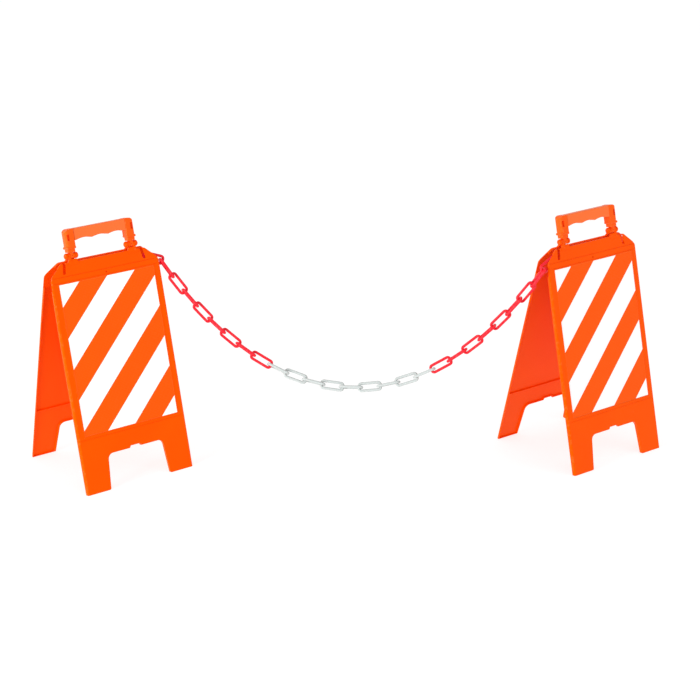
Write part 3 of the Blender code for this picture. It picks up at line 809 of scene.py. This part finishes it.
def make_link_shape():
    """A closed link in the XZ plane, its long way along X."""
    mesh = bmesh.new()
    plain_radius = WIRE_RADIUS - PARTING_RIDGE
    bmesh.ops.create_circle(mesh, cap_ends=False, segments=WIRE_SIDES, radius=plain_radius)
    upright = Matrix.Rotation(math.pi / 2.0, 3, "Y")
    bmesh.ops.rotate(mesh, verts=mesh.verts, cent=(0.0, 0.0, 0.0), matrix=upright)
    for corner in mesh.verts:
        if abs(corner.co.y) < 1e-6:
            corner.co.z *= WIRE_RADIUS / plain_radius
    half_length = LINK_LENGTH / 2.0 - WIRE_RADIUS
    half_width = LINK_WIDTH / 2.0 - WIRE_RADIUS
    straight_x, straight_z = half_length - LINK_CORNER, half_width - LINK_CORNER
    bmesh.ops.translate(mesh, verts=mesh.verts, vec=(-straight_x, 0.0, half_width))
    ring = list(mesh.edges)
    # each leg: where its straight runs to, and which corner it then turns round
    legs = [((1, 0), (1, 1)), ((0, -1), (1, -1)), ((-1, 0), (-1, -1)), ((0, 1), (-1, 1))]
    for (run_x, run_z), (side_x, side_z) in legs:
        grown = bmesh.ops.extrude_edge_only(mesh, edges=ring)
        ring = [edge for edge in only(bmesh.types.BMEdge, grown["geom"]) if len(edge.link_faces) == 1]
        corners = {corner for edge in ring for corner in edge.verts}
        run = (run_x * 2.0 * straight_x, 0.0, run_z * 2.0 * straight_z)
        bmesh.ops.translate(mesh, verts=list(corners), vec=run)
        turned = bmesh.ops.spin(mesh, geom=ring + list(corners), axis=(0.0, 1.0, 0.0),
                                cent=(side_x * straight_x, 0.0, side_z * straight_z),
                                angle=math.pi / 2.0, steps=CORNER_STEPS)
        ring = only(bmesh.types.BMEdge, turned["geom_last"])
    bmesh.ops.remove_doubles(mesh, verts=mesh.verts, dist=0.00002)
    bmesh.ops.recalc_face_normals(mesh, faces=mesh.faces)
    print("link open edges", sum(not edge.is_manifold for edge in mesh.edges))
    return finish_mesh(mesh, "link_shape")


link_shape = make_link_shape()
print("link faces", len(link_shape.polygons))

# %% [markdown]
# ## Surface effects as node groups
#
# Three effects return in every plastic here. Mould grain is a fine stipple that dulls the gloss.
# Flow colour is the slow drift of pigment through a big moulding. Scuffs are short pale rubs
# where pieces knock against a van floor. Each is a node group with named inputs, so a material
# only says how much of it that plastic shows.

# %% Start a node group
def new_group(name, inputs, outputs):
    """An empty shader group with its own sockets: inputs by default value, outputs by type."""
    group = bpy.data.node_groups.new(name, "ShaderNodeTree")
    for label, value in inputs.items():
        kind = "NodeSocketFloat"
        if isinstance(value, tuple):
            kind = "NodeSocketColor" if len(value) == 4 else "NodeSocketVector"
        socket = group.interface.new_socket(name=label, in_out="INPUT", socket_type=kind)
        socket.default_value = value
    for label, kind in outputs.items():
        group.interface.new_socket(name=label, in_out="OUTPUT", socket_type=kind)
    return group, group.nodes.new("NodeGroupInput").outputs, group.nodes.new("NodeGroupOutput").inputs


def fill(tree, socket, value):
    """Links a socket to another node's output, or gives it a fixed value."""
    if isinstance(value, bpy.types.NodeSocket):
        tree.links.new(value, socket)
    else:
        socket.default_value = value


def add_node(tree, kind, settings=None, **values):
    """Adds a node, sets its properties, and fills its inputs by name."""
    node = tree.nodes.new(kind)
    for key, value in (settings or {}).items():
        setattr(node, key, value)
    for key, value in values.items():
        fill(tree, node.inputs[key.replace("_", " ")], value)
    return node


def math_node(tree, operation, *values):
    node = tree.nodes.new("ShaderNodeMath")
    node.operation = operation
    for socket, value in zip(node.inputs, values):
        fill(tree, socket, value)
    return node.outputs[0]


def blend_colours(tree, share, first, second):
    node = tree.nodes.new("ShaderNodeMix")
    node.data_type = "RGBA"
    for number, value in ((0, share), (6, first), (7, second)):
        fill(tree, node.inputs[number], value)
    return node.outputs[2]


def noise(tree, place, scale, detail, **values):
    return add_node(tree, "ShaderNodeTexNoise", None, Vector=place, Scale=scale, Detail=detail,
                    **values).outputs["Fac"]


def stretch_range(tree, value, low, high):
    """Maps low to 0 and high to 1."""
    return add_node(tree, "ShaderNodeMapRange", None, Value=value, From_Min=low, From_Max=high).outputs[0]


print("group helpers ready")

# %% Mould grain
grain, held, out = new_group(
    "mould_grain", {"Position": (0.0, 0.0, 0.0), "Grain Scale": 900.0, "Gloss": 0.35,
                    "Gloss Drift": 0.08},
    {"Roughness": "NodeSocketFloat", "Height": "NodeSocketFloat"})
fine = noise(grain, held["Position"], held["Grain Scale"], 3.0, Roughness=0.6)
cells = add_node(grain, "ShaderNodeTexVoronoi", {"feature": "SMOOTH_F1"}, Vector=held["Position"],
                 Scale=math_node(grain, "MULTIPLY", held["Grain Scale"], 0.7))
slow = noise(grain, held["Position"], 14.0, 4.0)
height = math_node(grain, "ADD", math_node(grain, "MULTIPLY", fine, 0.6),
                   math_node(grain, "MULTIPLY", cells.outputs["Distance"], 0.5))
drift = math_node(grain, "MULTIPLY", math_node(grain, "SUBTRACT", slow, 0.5), held["Gloss Drift"])
gloss = math_node(grain, "ADD", held["Gloss"], math_node(grain, "MULTIPLY", drift, 2.0))
grain.links.new(gloss, out["Roughness"])
grain.links.new(height, out["Height"])
print("mould grain nodes", len(grain.nodes))

# %% Flow colour
flow, held, out = new_group(
    "flow_colour", {"Position": (0.0, 0.0, 0.0), "Colour": (0.9, 0.1, 0.0, 1.0),
                    "Deep Colour": (0.8, 0.07, 0.0, 1.0), "Amount": 0.5},
    {"Colour": "NodeSocketColor"})
drifting = noise(flow, held["Position"], 5.5, 3.0, Roughness=0.5, Distortion=0.8)
swirl = stretch_range(flow, drifting, 0.35, 0.65)
specks = stretch_range(flow, noise(flow, held["Position"], 260.0, 2.0), 0.3, 0.7)
both = math_node(flow, "ADD", math_node(flow, "MULTIPLY", swirl, 0.75),
                 math_node(flow, "MULTIPLY", specks, 0.25))
share = math_node(flow, "MULTIPLY", both, held["Amount"])
flow.links.new(blend_colours(flow, share, held["Colour"], held["Deep Colour"]), out["Colour"])
print("flow colour nodes", len(flow.nodes))

# %% Scuffs
scuff, held, out = new_group(
    "scuffs", {"Position": (0.0, 0.0, 0.0), "Edge": 0.0, "Amount": 0.3}, {"Mask": "NodeSocketFloat"})
stretched = add_node(scuff, "ShaderNodeMapping", None, Vector=held["Position"],
                     Rotation=(0.3, 0.5, 0.9), Scale=(1.0, 9.0, 1.6)).outputs[0]
rubs = stretch_range(scuff, noise(scuff, stretched, 55.0, 4.0, Roughness=0.7), 0.66, 0.76)
knocks = stretch_range(scuff, noise(scuff, held["Position"], 120.0, 4.0, Roughness=0.65), 0.50, 0.68)
worst = math_node(scuff, "MAXIMUM", math_node(scuff, "MULTIPLY", knocks, held["Edge"]),
                  math_node(scuff, "MULTIPLY", rubs, 0.45))
scuff.links.new(math_node(scuff, "MULTIPLY", worst, held["Amount"]), out["Mask"])
print("scuff nodes", len(scuff.nodes))

# %% [markdown]
# ## The plastics
#
# The orange panels are polyethylene with a fine grain, the handle is a little glossier, and
# the links are smooth and slightly waxy. The handle's legs get a slightly paler orange and its
# grip a salmon one: that lightening is a painted highlight, standing in for a lamp's reflection
# on their fronts. Rounded faces carry a mark in an attribute, so the pale edge wear stays on them.

# %% Build a plastic
EDGE_MARK = "edge_mark"
PLASTIC_SHINE = 0.15  # waxy plastics mirror less than lacquer does
GRAIN_RELIEF = 0.0003  # metres, from the grain's lowest to its highest


def use_group(tree, group, **values):
    """Places a node group in a material, with its inputs filled."""
    return add_node(tree, "ShaderNodeGroup", {"node_tree": group}, **values).outputs


def make_plastic(name, colour, deep, worn, gloss, grain_scale, bump, wear=0.35, drift=0.5,
                 sheen=(1.0, 0.30, 0.04)):
    """A moulded plastic: its colour, its deeper streaks, its rubbed colour, and its surface."""
    material = bpy.data.materials.new(name)
    material.use_nodes = True
    tree = material.node_tree
    shader = tree.nodes["Principled BSDF"]
    place = tree.nodes.new("ShaderNodeTexCoord").outputs["Object"]
    marks = add_node(tree, "ShaderNodeAttribute", {"attribute_name": EDGE_MARK}).outputs["Fac"]
    tint = use_group(tree, flow, Position=place, Colour=(*colour, 1.0), Deep_Colour=(*deep, 1.0),
                     Amount=drift)["Colour"]
    skin = use_group(tree, grain, Position=place, Grain_Scale=grain_scale, Gloss=gloss)
    rubbed = use_group(tree, scuff, Position=place, Edge=marks, Amount=wear)["Mask"]
    rough = math_node(tree, "ADD", skin["Roughness"], math_node(tree, "MULTIPLY", rubbed, 0.3))
    relief = add_node(tree, "ShaderNodeBump", None, Strength=bump, Distance=GRAIN_RELIEF,
                      Height=skin["Height"])
    tree.links.new(blend_colours(tree, rubbed, tint, (*worn, 1.0)), shader.inputs["Base Color"])
    tree.links.new(rough, shader.inputs["Roughness"])
    tree.links.new(relief.outputs["Normal"], shader.inputs["Normal"])
    shader.inputs["IOR"].default_value = 1.5
    shader.inputs["Specular IOR Level"].default_value = PLASTIC_SHINE
    shader.inputs["Specular Tint"].default_value = (*sheen, 1.0)
    return material


WORN_ORANGE = (1.0, 0.20, 0.06)
# colour, deep colour, worn colour, gloss, grain scale, bump
panel_plastic = make_plastic("panel_plastic", (1.0, 0.094, 0.0), (0.94, 0.074, 0.0), WORN_ORANGE,
                             0.36, 900.0, 0.12)
# the legs' orange is their own colour made a touch paler, and the grip's salmon paler still: both lightenings are
# a painted highlight for a lamp's reflection on their fronts
handle_plastic_painted_highlight = make_plastic("handle_plastic_painted_highlight", (1.0, 0.116, 0.010), (0.94, 0.090, 0.006),
                              (1.0, 0.24, 0.08), 0.30, 1100.0, 0.10)
grip_plastic_painted_highlight = make_plastic("grip_plastic_painted_highlight", (1.0, 0.180, 0.044), (0.96, 0.150, 0.034), (1.0, 0.30, 0.12),
                            0.36, 700.0, 0.2)
pin_plastic = make_plastic("pin_plastic", (0.96, 0.080, 0.0), (0.88, 0.060, 0.0), WORN_ORANGE,
                           0.30, 1300.0, 0.08)
red_plastic = make_plastic("red_link_plastic_skin", (0.86, 0.020, 0.036), (0.78, 0.012, 0.026),
                           (0.95, 0.16, 0.16), 0.30, 1300.0, 0.06, 0.25, 0.4, (1.0, 0.6, 0.6))
white_plastic = make_plastic("white_link_plastic_skin", (0.53, 0.57, 0.56), (0.48, 0.52, 0.51),
                             (0.44, 0.45, 0.43), 0.30, 1300.0, 0.06, 0.25, 0.4, (1.0, 1.0, 1.0))
print("plastics", [material.name for material in bpy.data.materials if material.node_tree])

# %% [markdown]
# ## The reflective sheeting
#
# The stripes run at 45 degrees and are all the same width. On the UV map, in metres, the sum of
# "up" minus "across" is the same all along such a stripe, so a floor and a modulo tell white from
# orange. Under the colours lies the film's cell pattern: a fine hexagonal net with a faint relief
# and a slight change of gloss. A band 0.7 mm wide along the sheet's edge, all round, takes one pale
# orange over both stripe colours.

# %% Striped sheeting
STRIPE = 0.0778  # along the sheet's edge, for one stripe
STRIPE_START = 0.3246  # up minus across at the first stripe's edge
CELL_SCALE = 260.0
CUT_EDGE = 0.0007
NET_RELIEF = 0.0002
SHEET_SHINE = 0.20
ORANGE_INKS = ((1.0, 0.100, 0.0, 1.0), (0.95, 0.080, 0.0, 1.0))
WHITE_FILMS = ((1.0, 1.0, 1.0, 1.0), (0.95, 0.96, 0.97, 1.0))
NET_TINT = (0.70, 0.60, 0.55, 1.0)
# one pale orange for the thin band along the sheet's edge, over orange and white stripes alike
EDGE_BAND_TINT = (1.0, 0.17, 0.03, 1.0)

sheeting = bpy.data.materials.new("striped_sheeting")
sheeting.use_nodes = True
tree = sheeting.node_tree
sheet_shader = tree.nodes["Principled BSDF"]
uv = add_node(tree, "ShaderNodeUVMap", {"uv_map": "sheet_map"}).outputs[0]
axes = add_node(tree, "ShaderNodeSeparateXYZ", None, Vector=uv)
across, up = axes.outputs[0], axes.outputs[1]
down_right = math_node(tree, "SUBTRACT", STRIPE_START, math_node(tree, "SUBTRACT", up, across))
count = math_node(tree, "FLOOR", math_node(tree, "DIVIDE", down_right, STRIPE))
is_white = math_node(tree, "FLOORED_MODULO", count, 2.0)
net = add_node(tree, "ShaderNodeTexVoronoi", {"feature": "DISTANCE_TO_EDGE"}, Vector=uv, Scale=CELL_SCALE,
               Randomness=0.15)
cell = stretch_range(tree, net.outputs["Distance"], 0.02, 0.10)
beads = noise(tree, uv, 2600.0, 2.0)
ink = noise(tree, uv, 16.0, 4.0)
orange_film = blend_colours(tree, math_node(tree, "MULTIPLY", ink, 0.5), *ORANGE_INKS)
white_film = blend_colours(tree, math_node(tree, "MULTIPLY", ink, 0.4), *WHITE_FILMS)
film = blend_colours(tree, is_white, orange_film, white_film)
netted = blend_colours(tree, cell, blend_colours(tree, 0.03, film, NET_TINT), film)


def edge_distance(along, half):
    """How far a point lies from the nearer of two opposite edges of the sheet."""
    return math_node(tree, "SUBTRACT", half,
                     math_node(tree, "ABSOLUTE", math_node(tree, "SUBTRACT", along, half)))


nearest = math_node(tree, "MINIMUM", edge_distance(across, SHEET_HALF_WIDTH),
                    edge_distance(up, SHEET_HEIGHT / 2.0))
is_edge = math_node(tree, "LESS_THAN", nearest, CUT_EDGE)
height = math_node(tree, "ADD", cell, math_node(tree, "MULTIPLY", beads, 0.3))
sheet_relief = add_node(tree, "ShaderNodeBump", None, Strength=0.10, Distance=NET_RELIEF, Height=height)
sheet_gloss = math_node(tree, "ADD", 0.26, math_node(tree, "MULTIPLY", beads, 0.12))
tree.links.new(blend_colours(tree, is_edge, netted, EDGE_BAND_TINT), sheet_shader.inputs["Base Color"])
tree.links.new(sheet_gloss, sheet_shader.inputs["Roughness"])
tree.links.new(sheet_relief.outputs["Normal"], sheet_shader.inputs["Normal"])
sheet_shader.inputs["Specular IOR Level"].default_value = SHEET_SHINE
sheet_shader.inputs["Specular Tint"].default_value = (1.0, 0.35, 0.05, 1.0)
print("stripe width along the edge", round(STRIPE, 4), "sheeting nodes", len(tree.nodes))

# %% [markdown]
# ## Putting the pieces in place
#
# Every piece is placed in its mesh, so its object stays at the origin like the CAD nodes. Each
# one is then parented to the CAD body it rides on, the CAD node it replaces is hidden, and it is
# given its material. Weighted normals keep the big faces flat while the small rounds shade smoothly.

# %% Place one piece
SHARP_ANGLE = math.radians(42.0)
FLAT_LIMIT = 0.985
placed = []


def mark_rounds(data, local_normals):
    """Marks the rounded faces, which don't look along an axis of the piece."""
    mark = data.attributes.new(EDGE_MARK, "FLOAT", "FACE")
    flat = np.abs(local_normals).max(axis=1) > FLAT_LIMIT
    mark.data.foreach_set("value", np.where(flat, 0.0, 1.0).astype(np.float32))


def place_piece(name, shape, matrix, material, body, replaced, weighted=True):
    data = shape.copy()
    data.name = name
    normals = np.zeros(len(data.polygons) * 3, dtype=np.float32)
    data.polygons.foreach_get("normal", normals)
    mark_rounds(data, normals.reshape(-1, 3))
    data.transform(matrix)
    data.materials.clear()
    data.materials.append(material)
    data.shade_smooth()
    data.set_sharp_from_angle(angle=SHARP_ANGLE)
    piece = show(data, name)
    if weighted:
        even = piece.modifiers.new("even_normals", "WEIGHTED_NORMAL")
        even.keep_sharp = True
        even.weight = 50
    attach(piece, body)
    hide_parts(replaced)
    placed.append(piece)
    return piece


print("sharp over", round(math.degrees(SHARP_ANGLE)), "degrees")

# %% Place both stands
for stand in ("left", "right"):
    for face, shape, rear in (("front", front_shape, False), ("rear", rear_shape, True)):
        place = panel_matrix(stand, rear)
        body = stand + "_rear_leaf" if rear else "root"
        place_piece("%s_%s_moulding" % (stand, face), shape, place, panel_plastic, body,
                    "%s_%s_panel" % (stand, face))
        place_piece("%s_%s_sheeting" % (stand, face), sheet_shape, place, sheeting, body,
                    "%s_%s_sheet" % (stand, face))
    place = panel_matrix(stand, False)
    place_piece(stand + "_handle_legs", handle_shape, place, handle_plastic_painted_highlight, stand + "_handle",
                stand + "_handle_frame")
    place_piece(stand + "_finger_grip", grip_shape, place, grip_plastic_painted_highlight, stand + "_handle",
                stand + "_handle_grip")
    for side, word in ((-1, "left"), (1, "right")):
        turn = Matrix.Identity(4) if side > 0 else Matrix.Rotation(math.pi, 4, "Z")
        place = Matrix.Translation(hinge_place(stand) + Vector((side * LEG_X, 0.0, 0.0))) @ turn
        place_piece("%s_%s_pin_head" % (stand, word), pin_shape, place, pin_plastic, "root",
                    "%s_%s_hinge_pin" % (stand, word))
        place_piece("%s_%s_pressed_cap" % (stand, word), cap_shape, place, pin_plastic, "root",
                    "%s_%s_pin_cap" % (stand, word))
print("stand pieces", len(placed))

# %% [markdown]
# ### The chain
#
# Each link's place comes from its CAD node: the longest spread of the node's corners is the
# link's length, the middle one its width, and the least its thickness. Principal axes find all
# three at once, however the link lies.

# %% Place the links
COLOUR_RUN = 9  # links in a row of one colour: red, white, red


def link_matrix(node_name):
    """The link's own axes and middle, from the spread of its node's corners."""
    data = nodes[node_name].data
    points = np.zeros(len(data.vertices) * 3)
    data.vertices.foreach_get("co", points)
    points = np.unique(points.reshape(-1, 3).round(6), axis=0)
    middle = points.mean(axis=0)
    centred = points - middle
    _, vectors = np.linalg.eigh(centred.T @ centred)
    length, width = Vector(vectors[:, 2]), Vector(vectors[:, 1])
    rows = Matrix((length, width.cross(length), width)).transposed()
    return Matrix.Translation(Vector(middle)) @ rows.to_4x4()


link_names = sorted(name for name in nodes if name.startswith("chain_link_"))
bodies = frame["record"]["behaviour"]["bodies"]
bodies_of = {name: body for body, members in bodies.items() for name in members}
red_names = set(link_names[:COLOUR_RUN] + link_names[2 * COLOUR_RUN:])
for name in link_names:
    red = name in red_names
    place_piece(name.replace("chain_link", "chain_ring"), link_shape, link_matrix(name),
                red_plastic if red else white_plastic, bodies_of[name], name,
                weighted=False)
print("links", len(link_names), "red", len(red_names))

# %% [markdown]
# ## Finish
#
# The shapes that were only patterns for copies go away.

# %% Clear the patterns and finish
for shape in (front_shape, rear_shape, sheet_shape, handle_shape, grip_shape, pin_shape, cap_shape,
              link_shape):
    bpy.data.meshes.remove(shape)


print("pieces", len(placed))
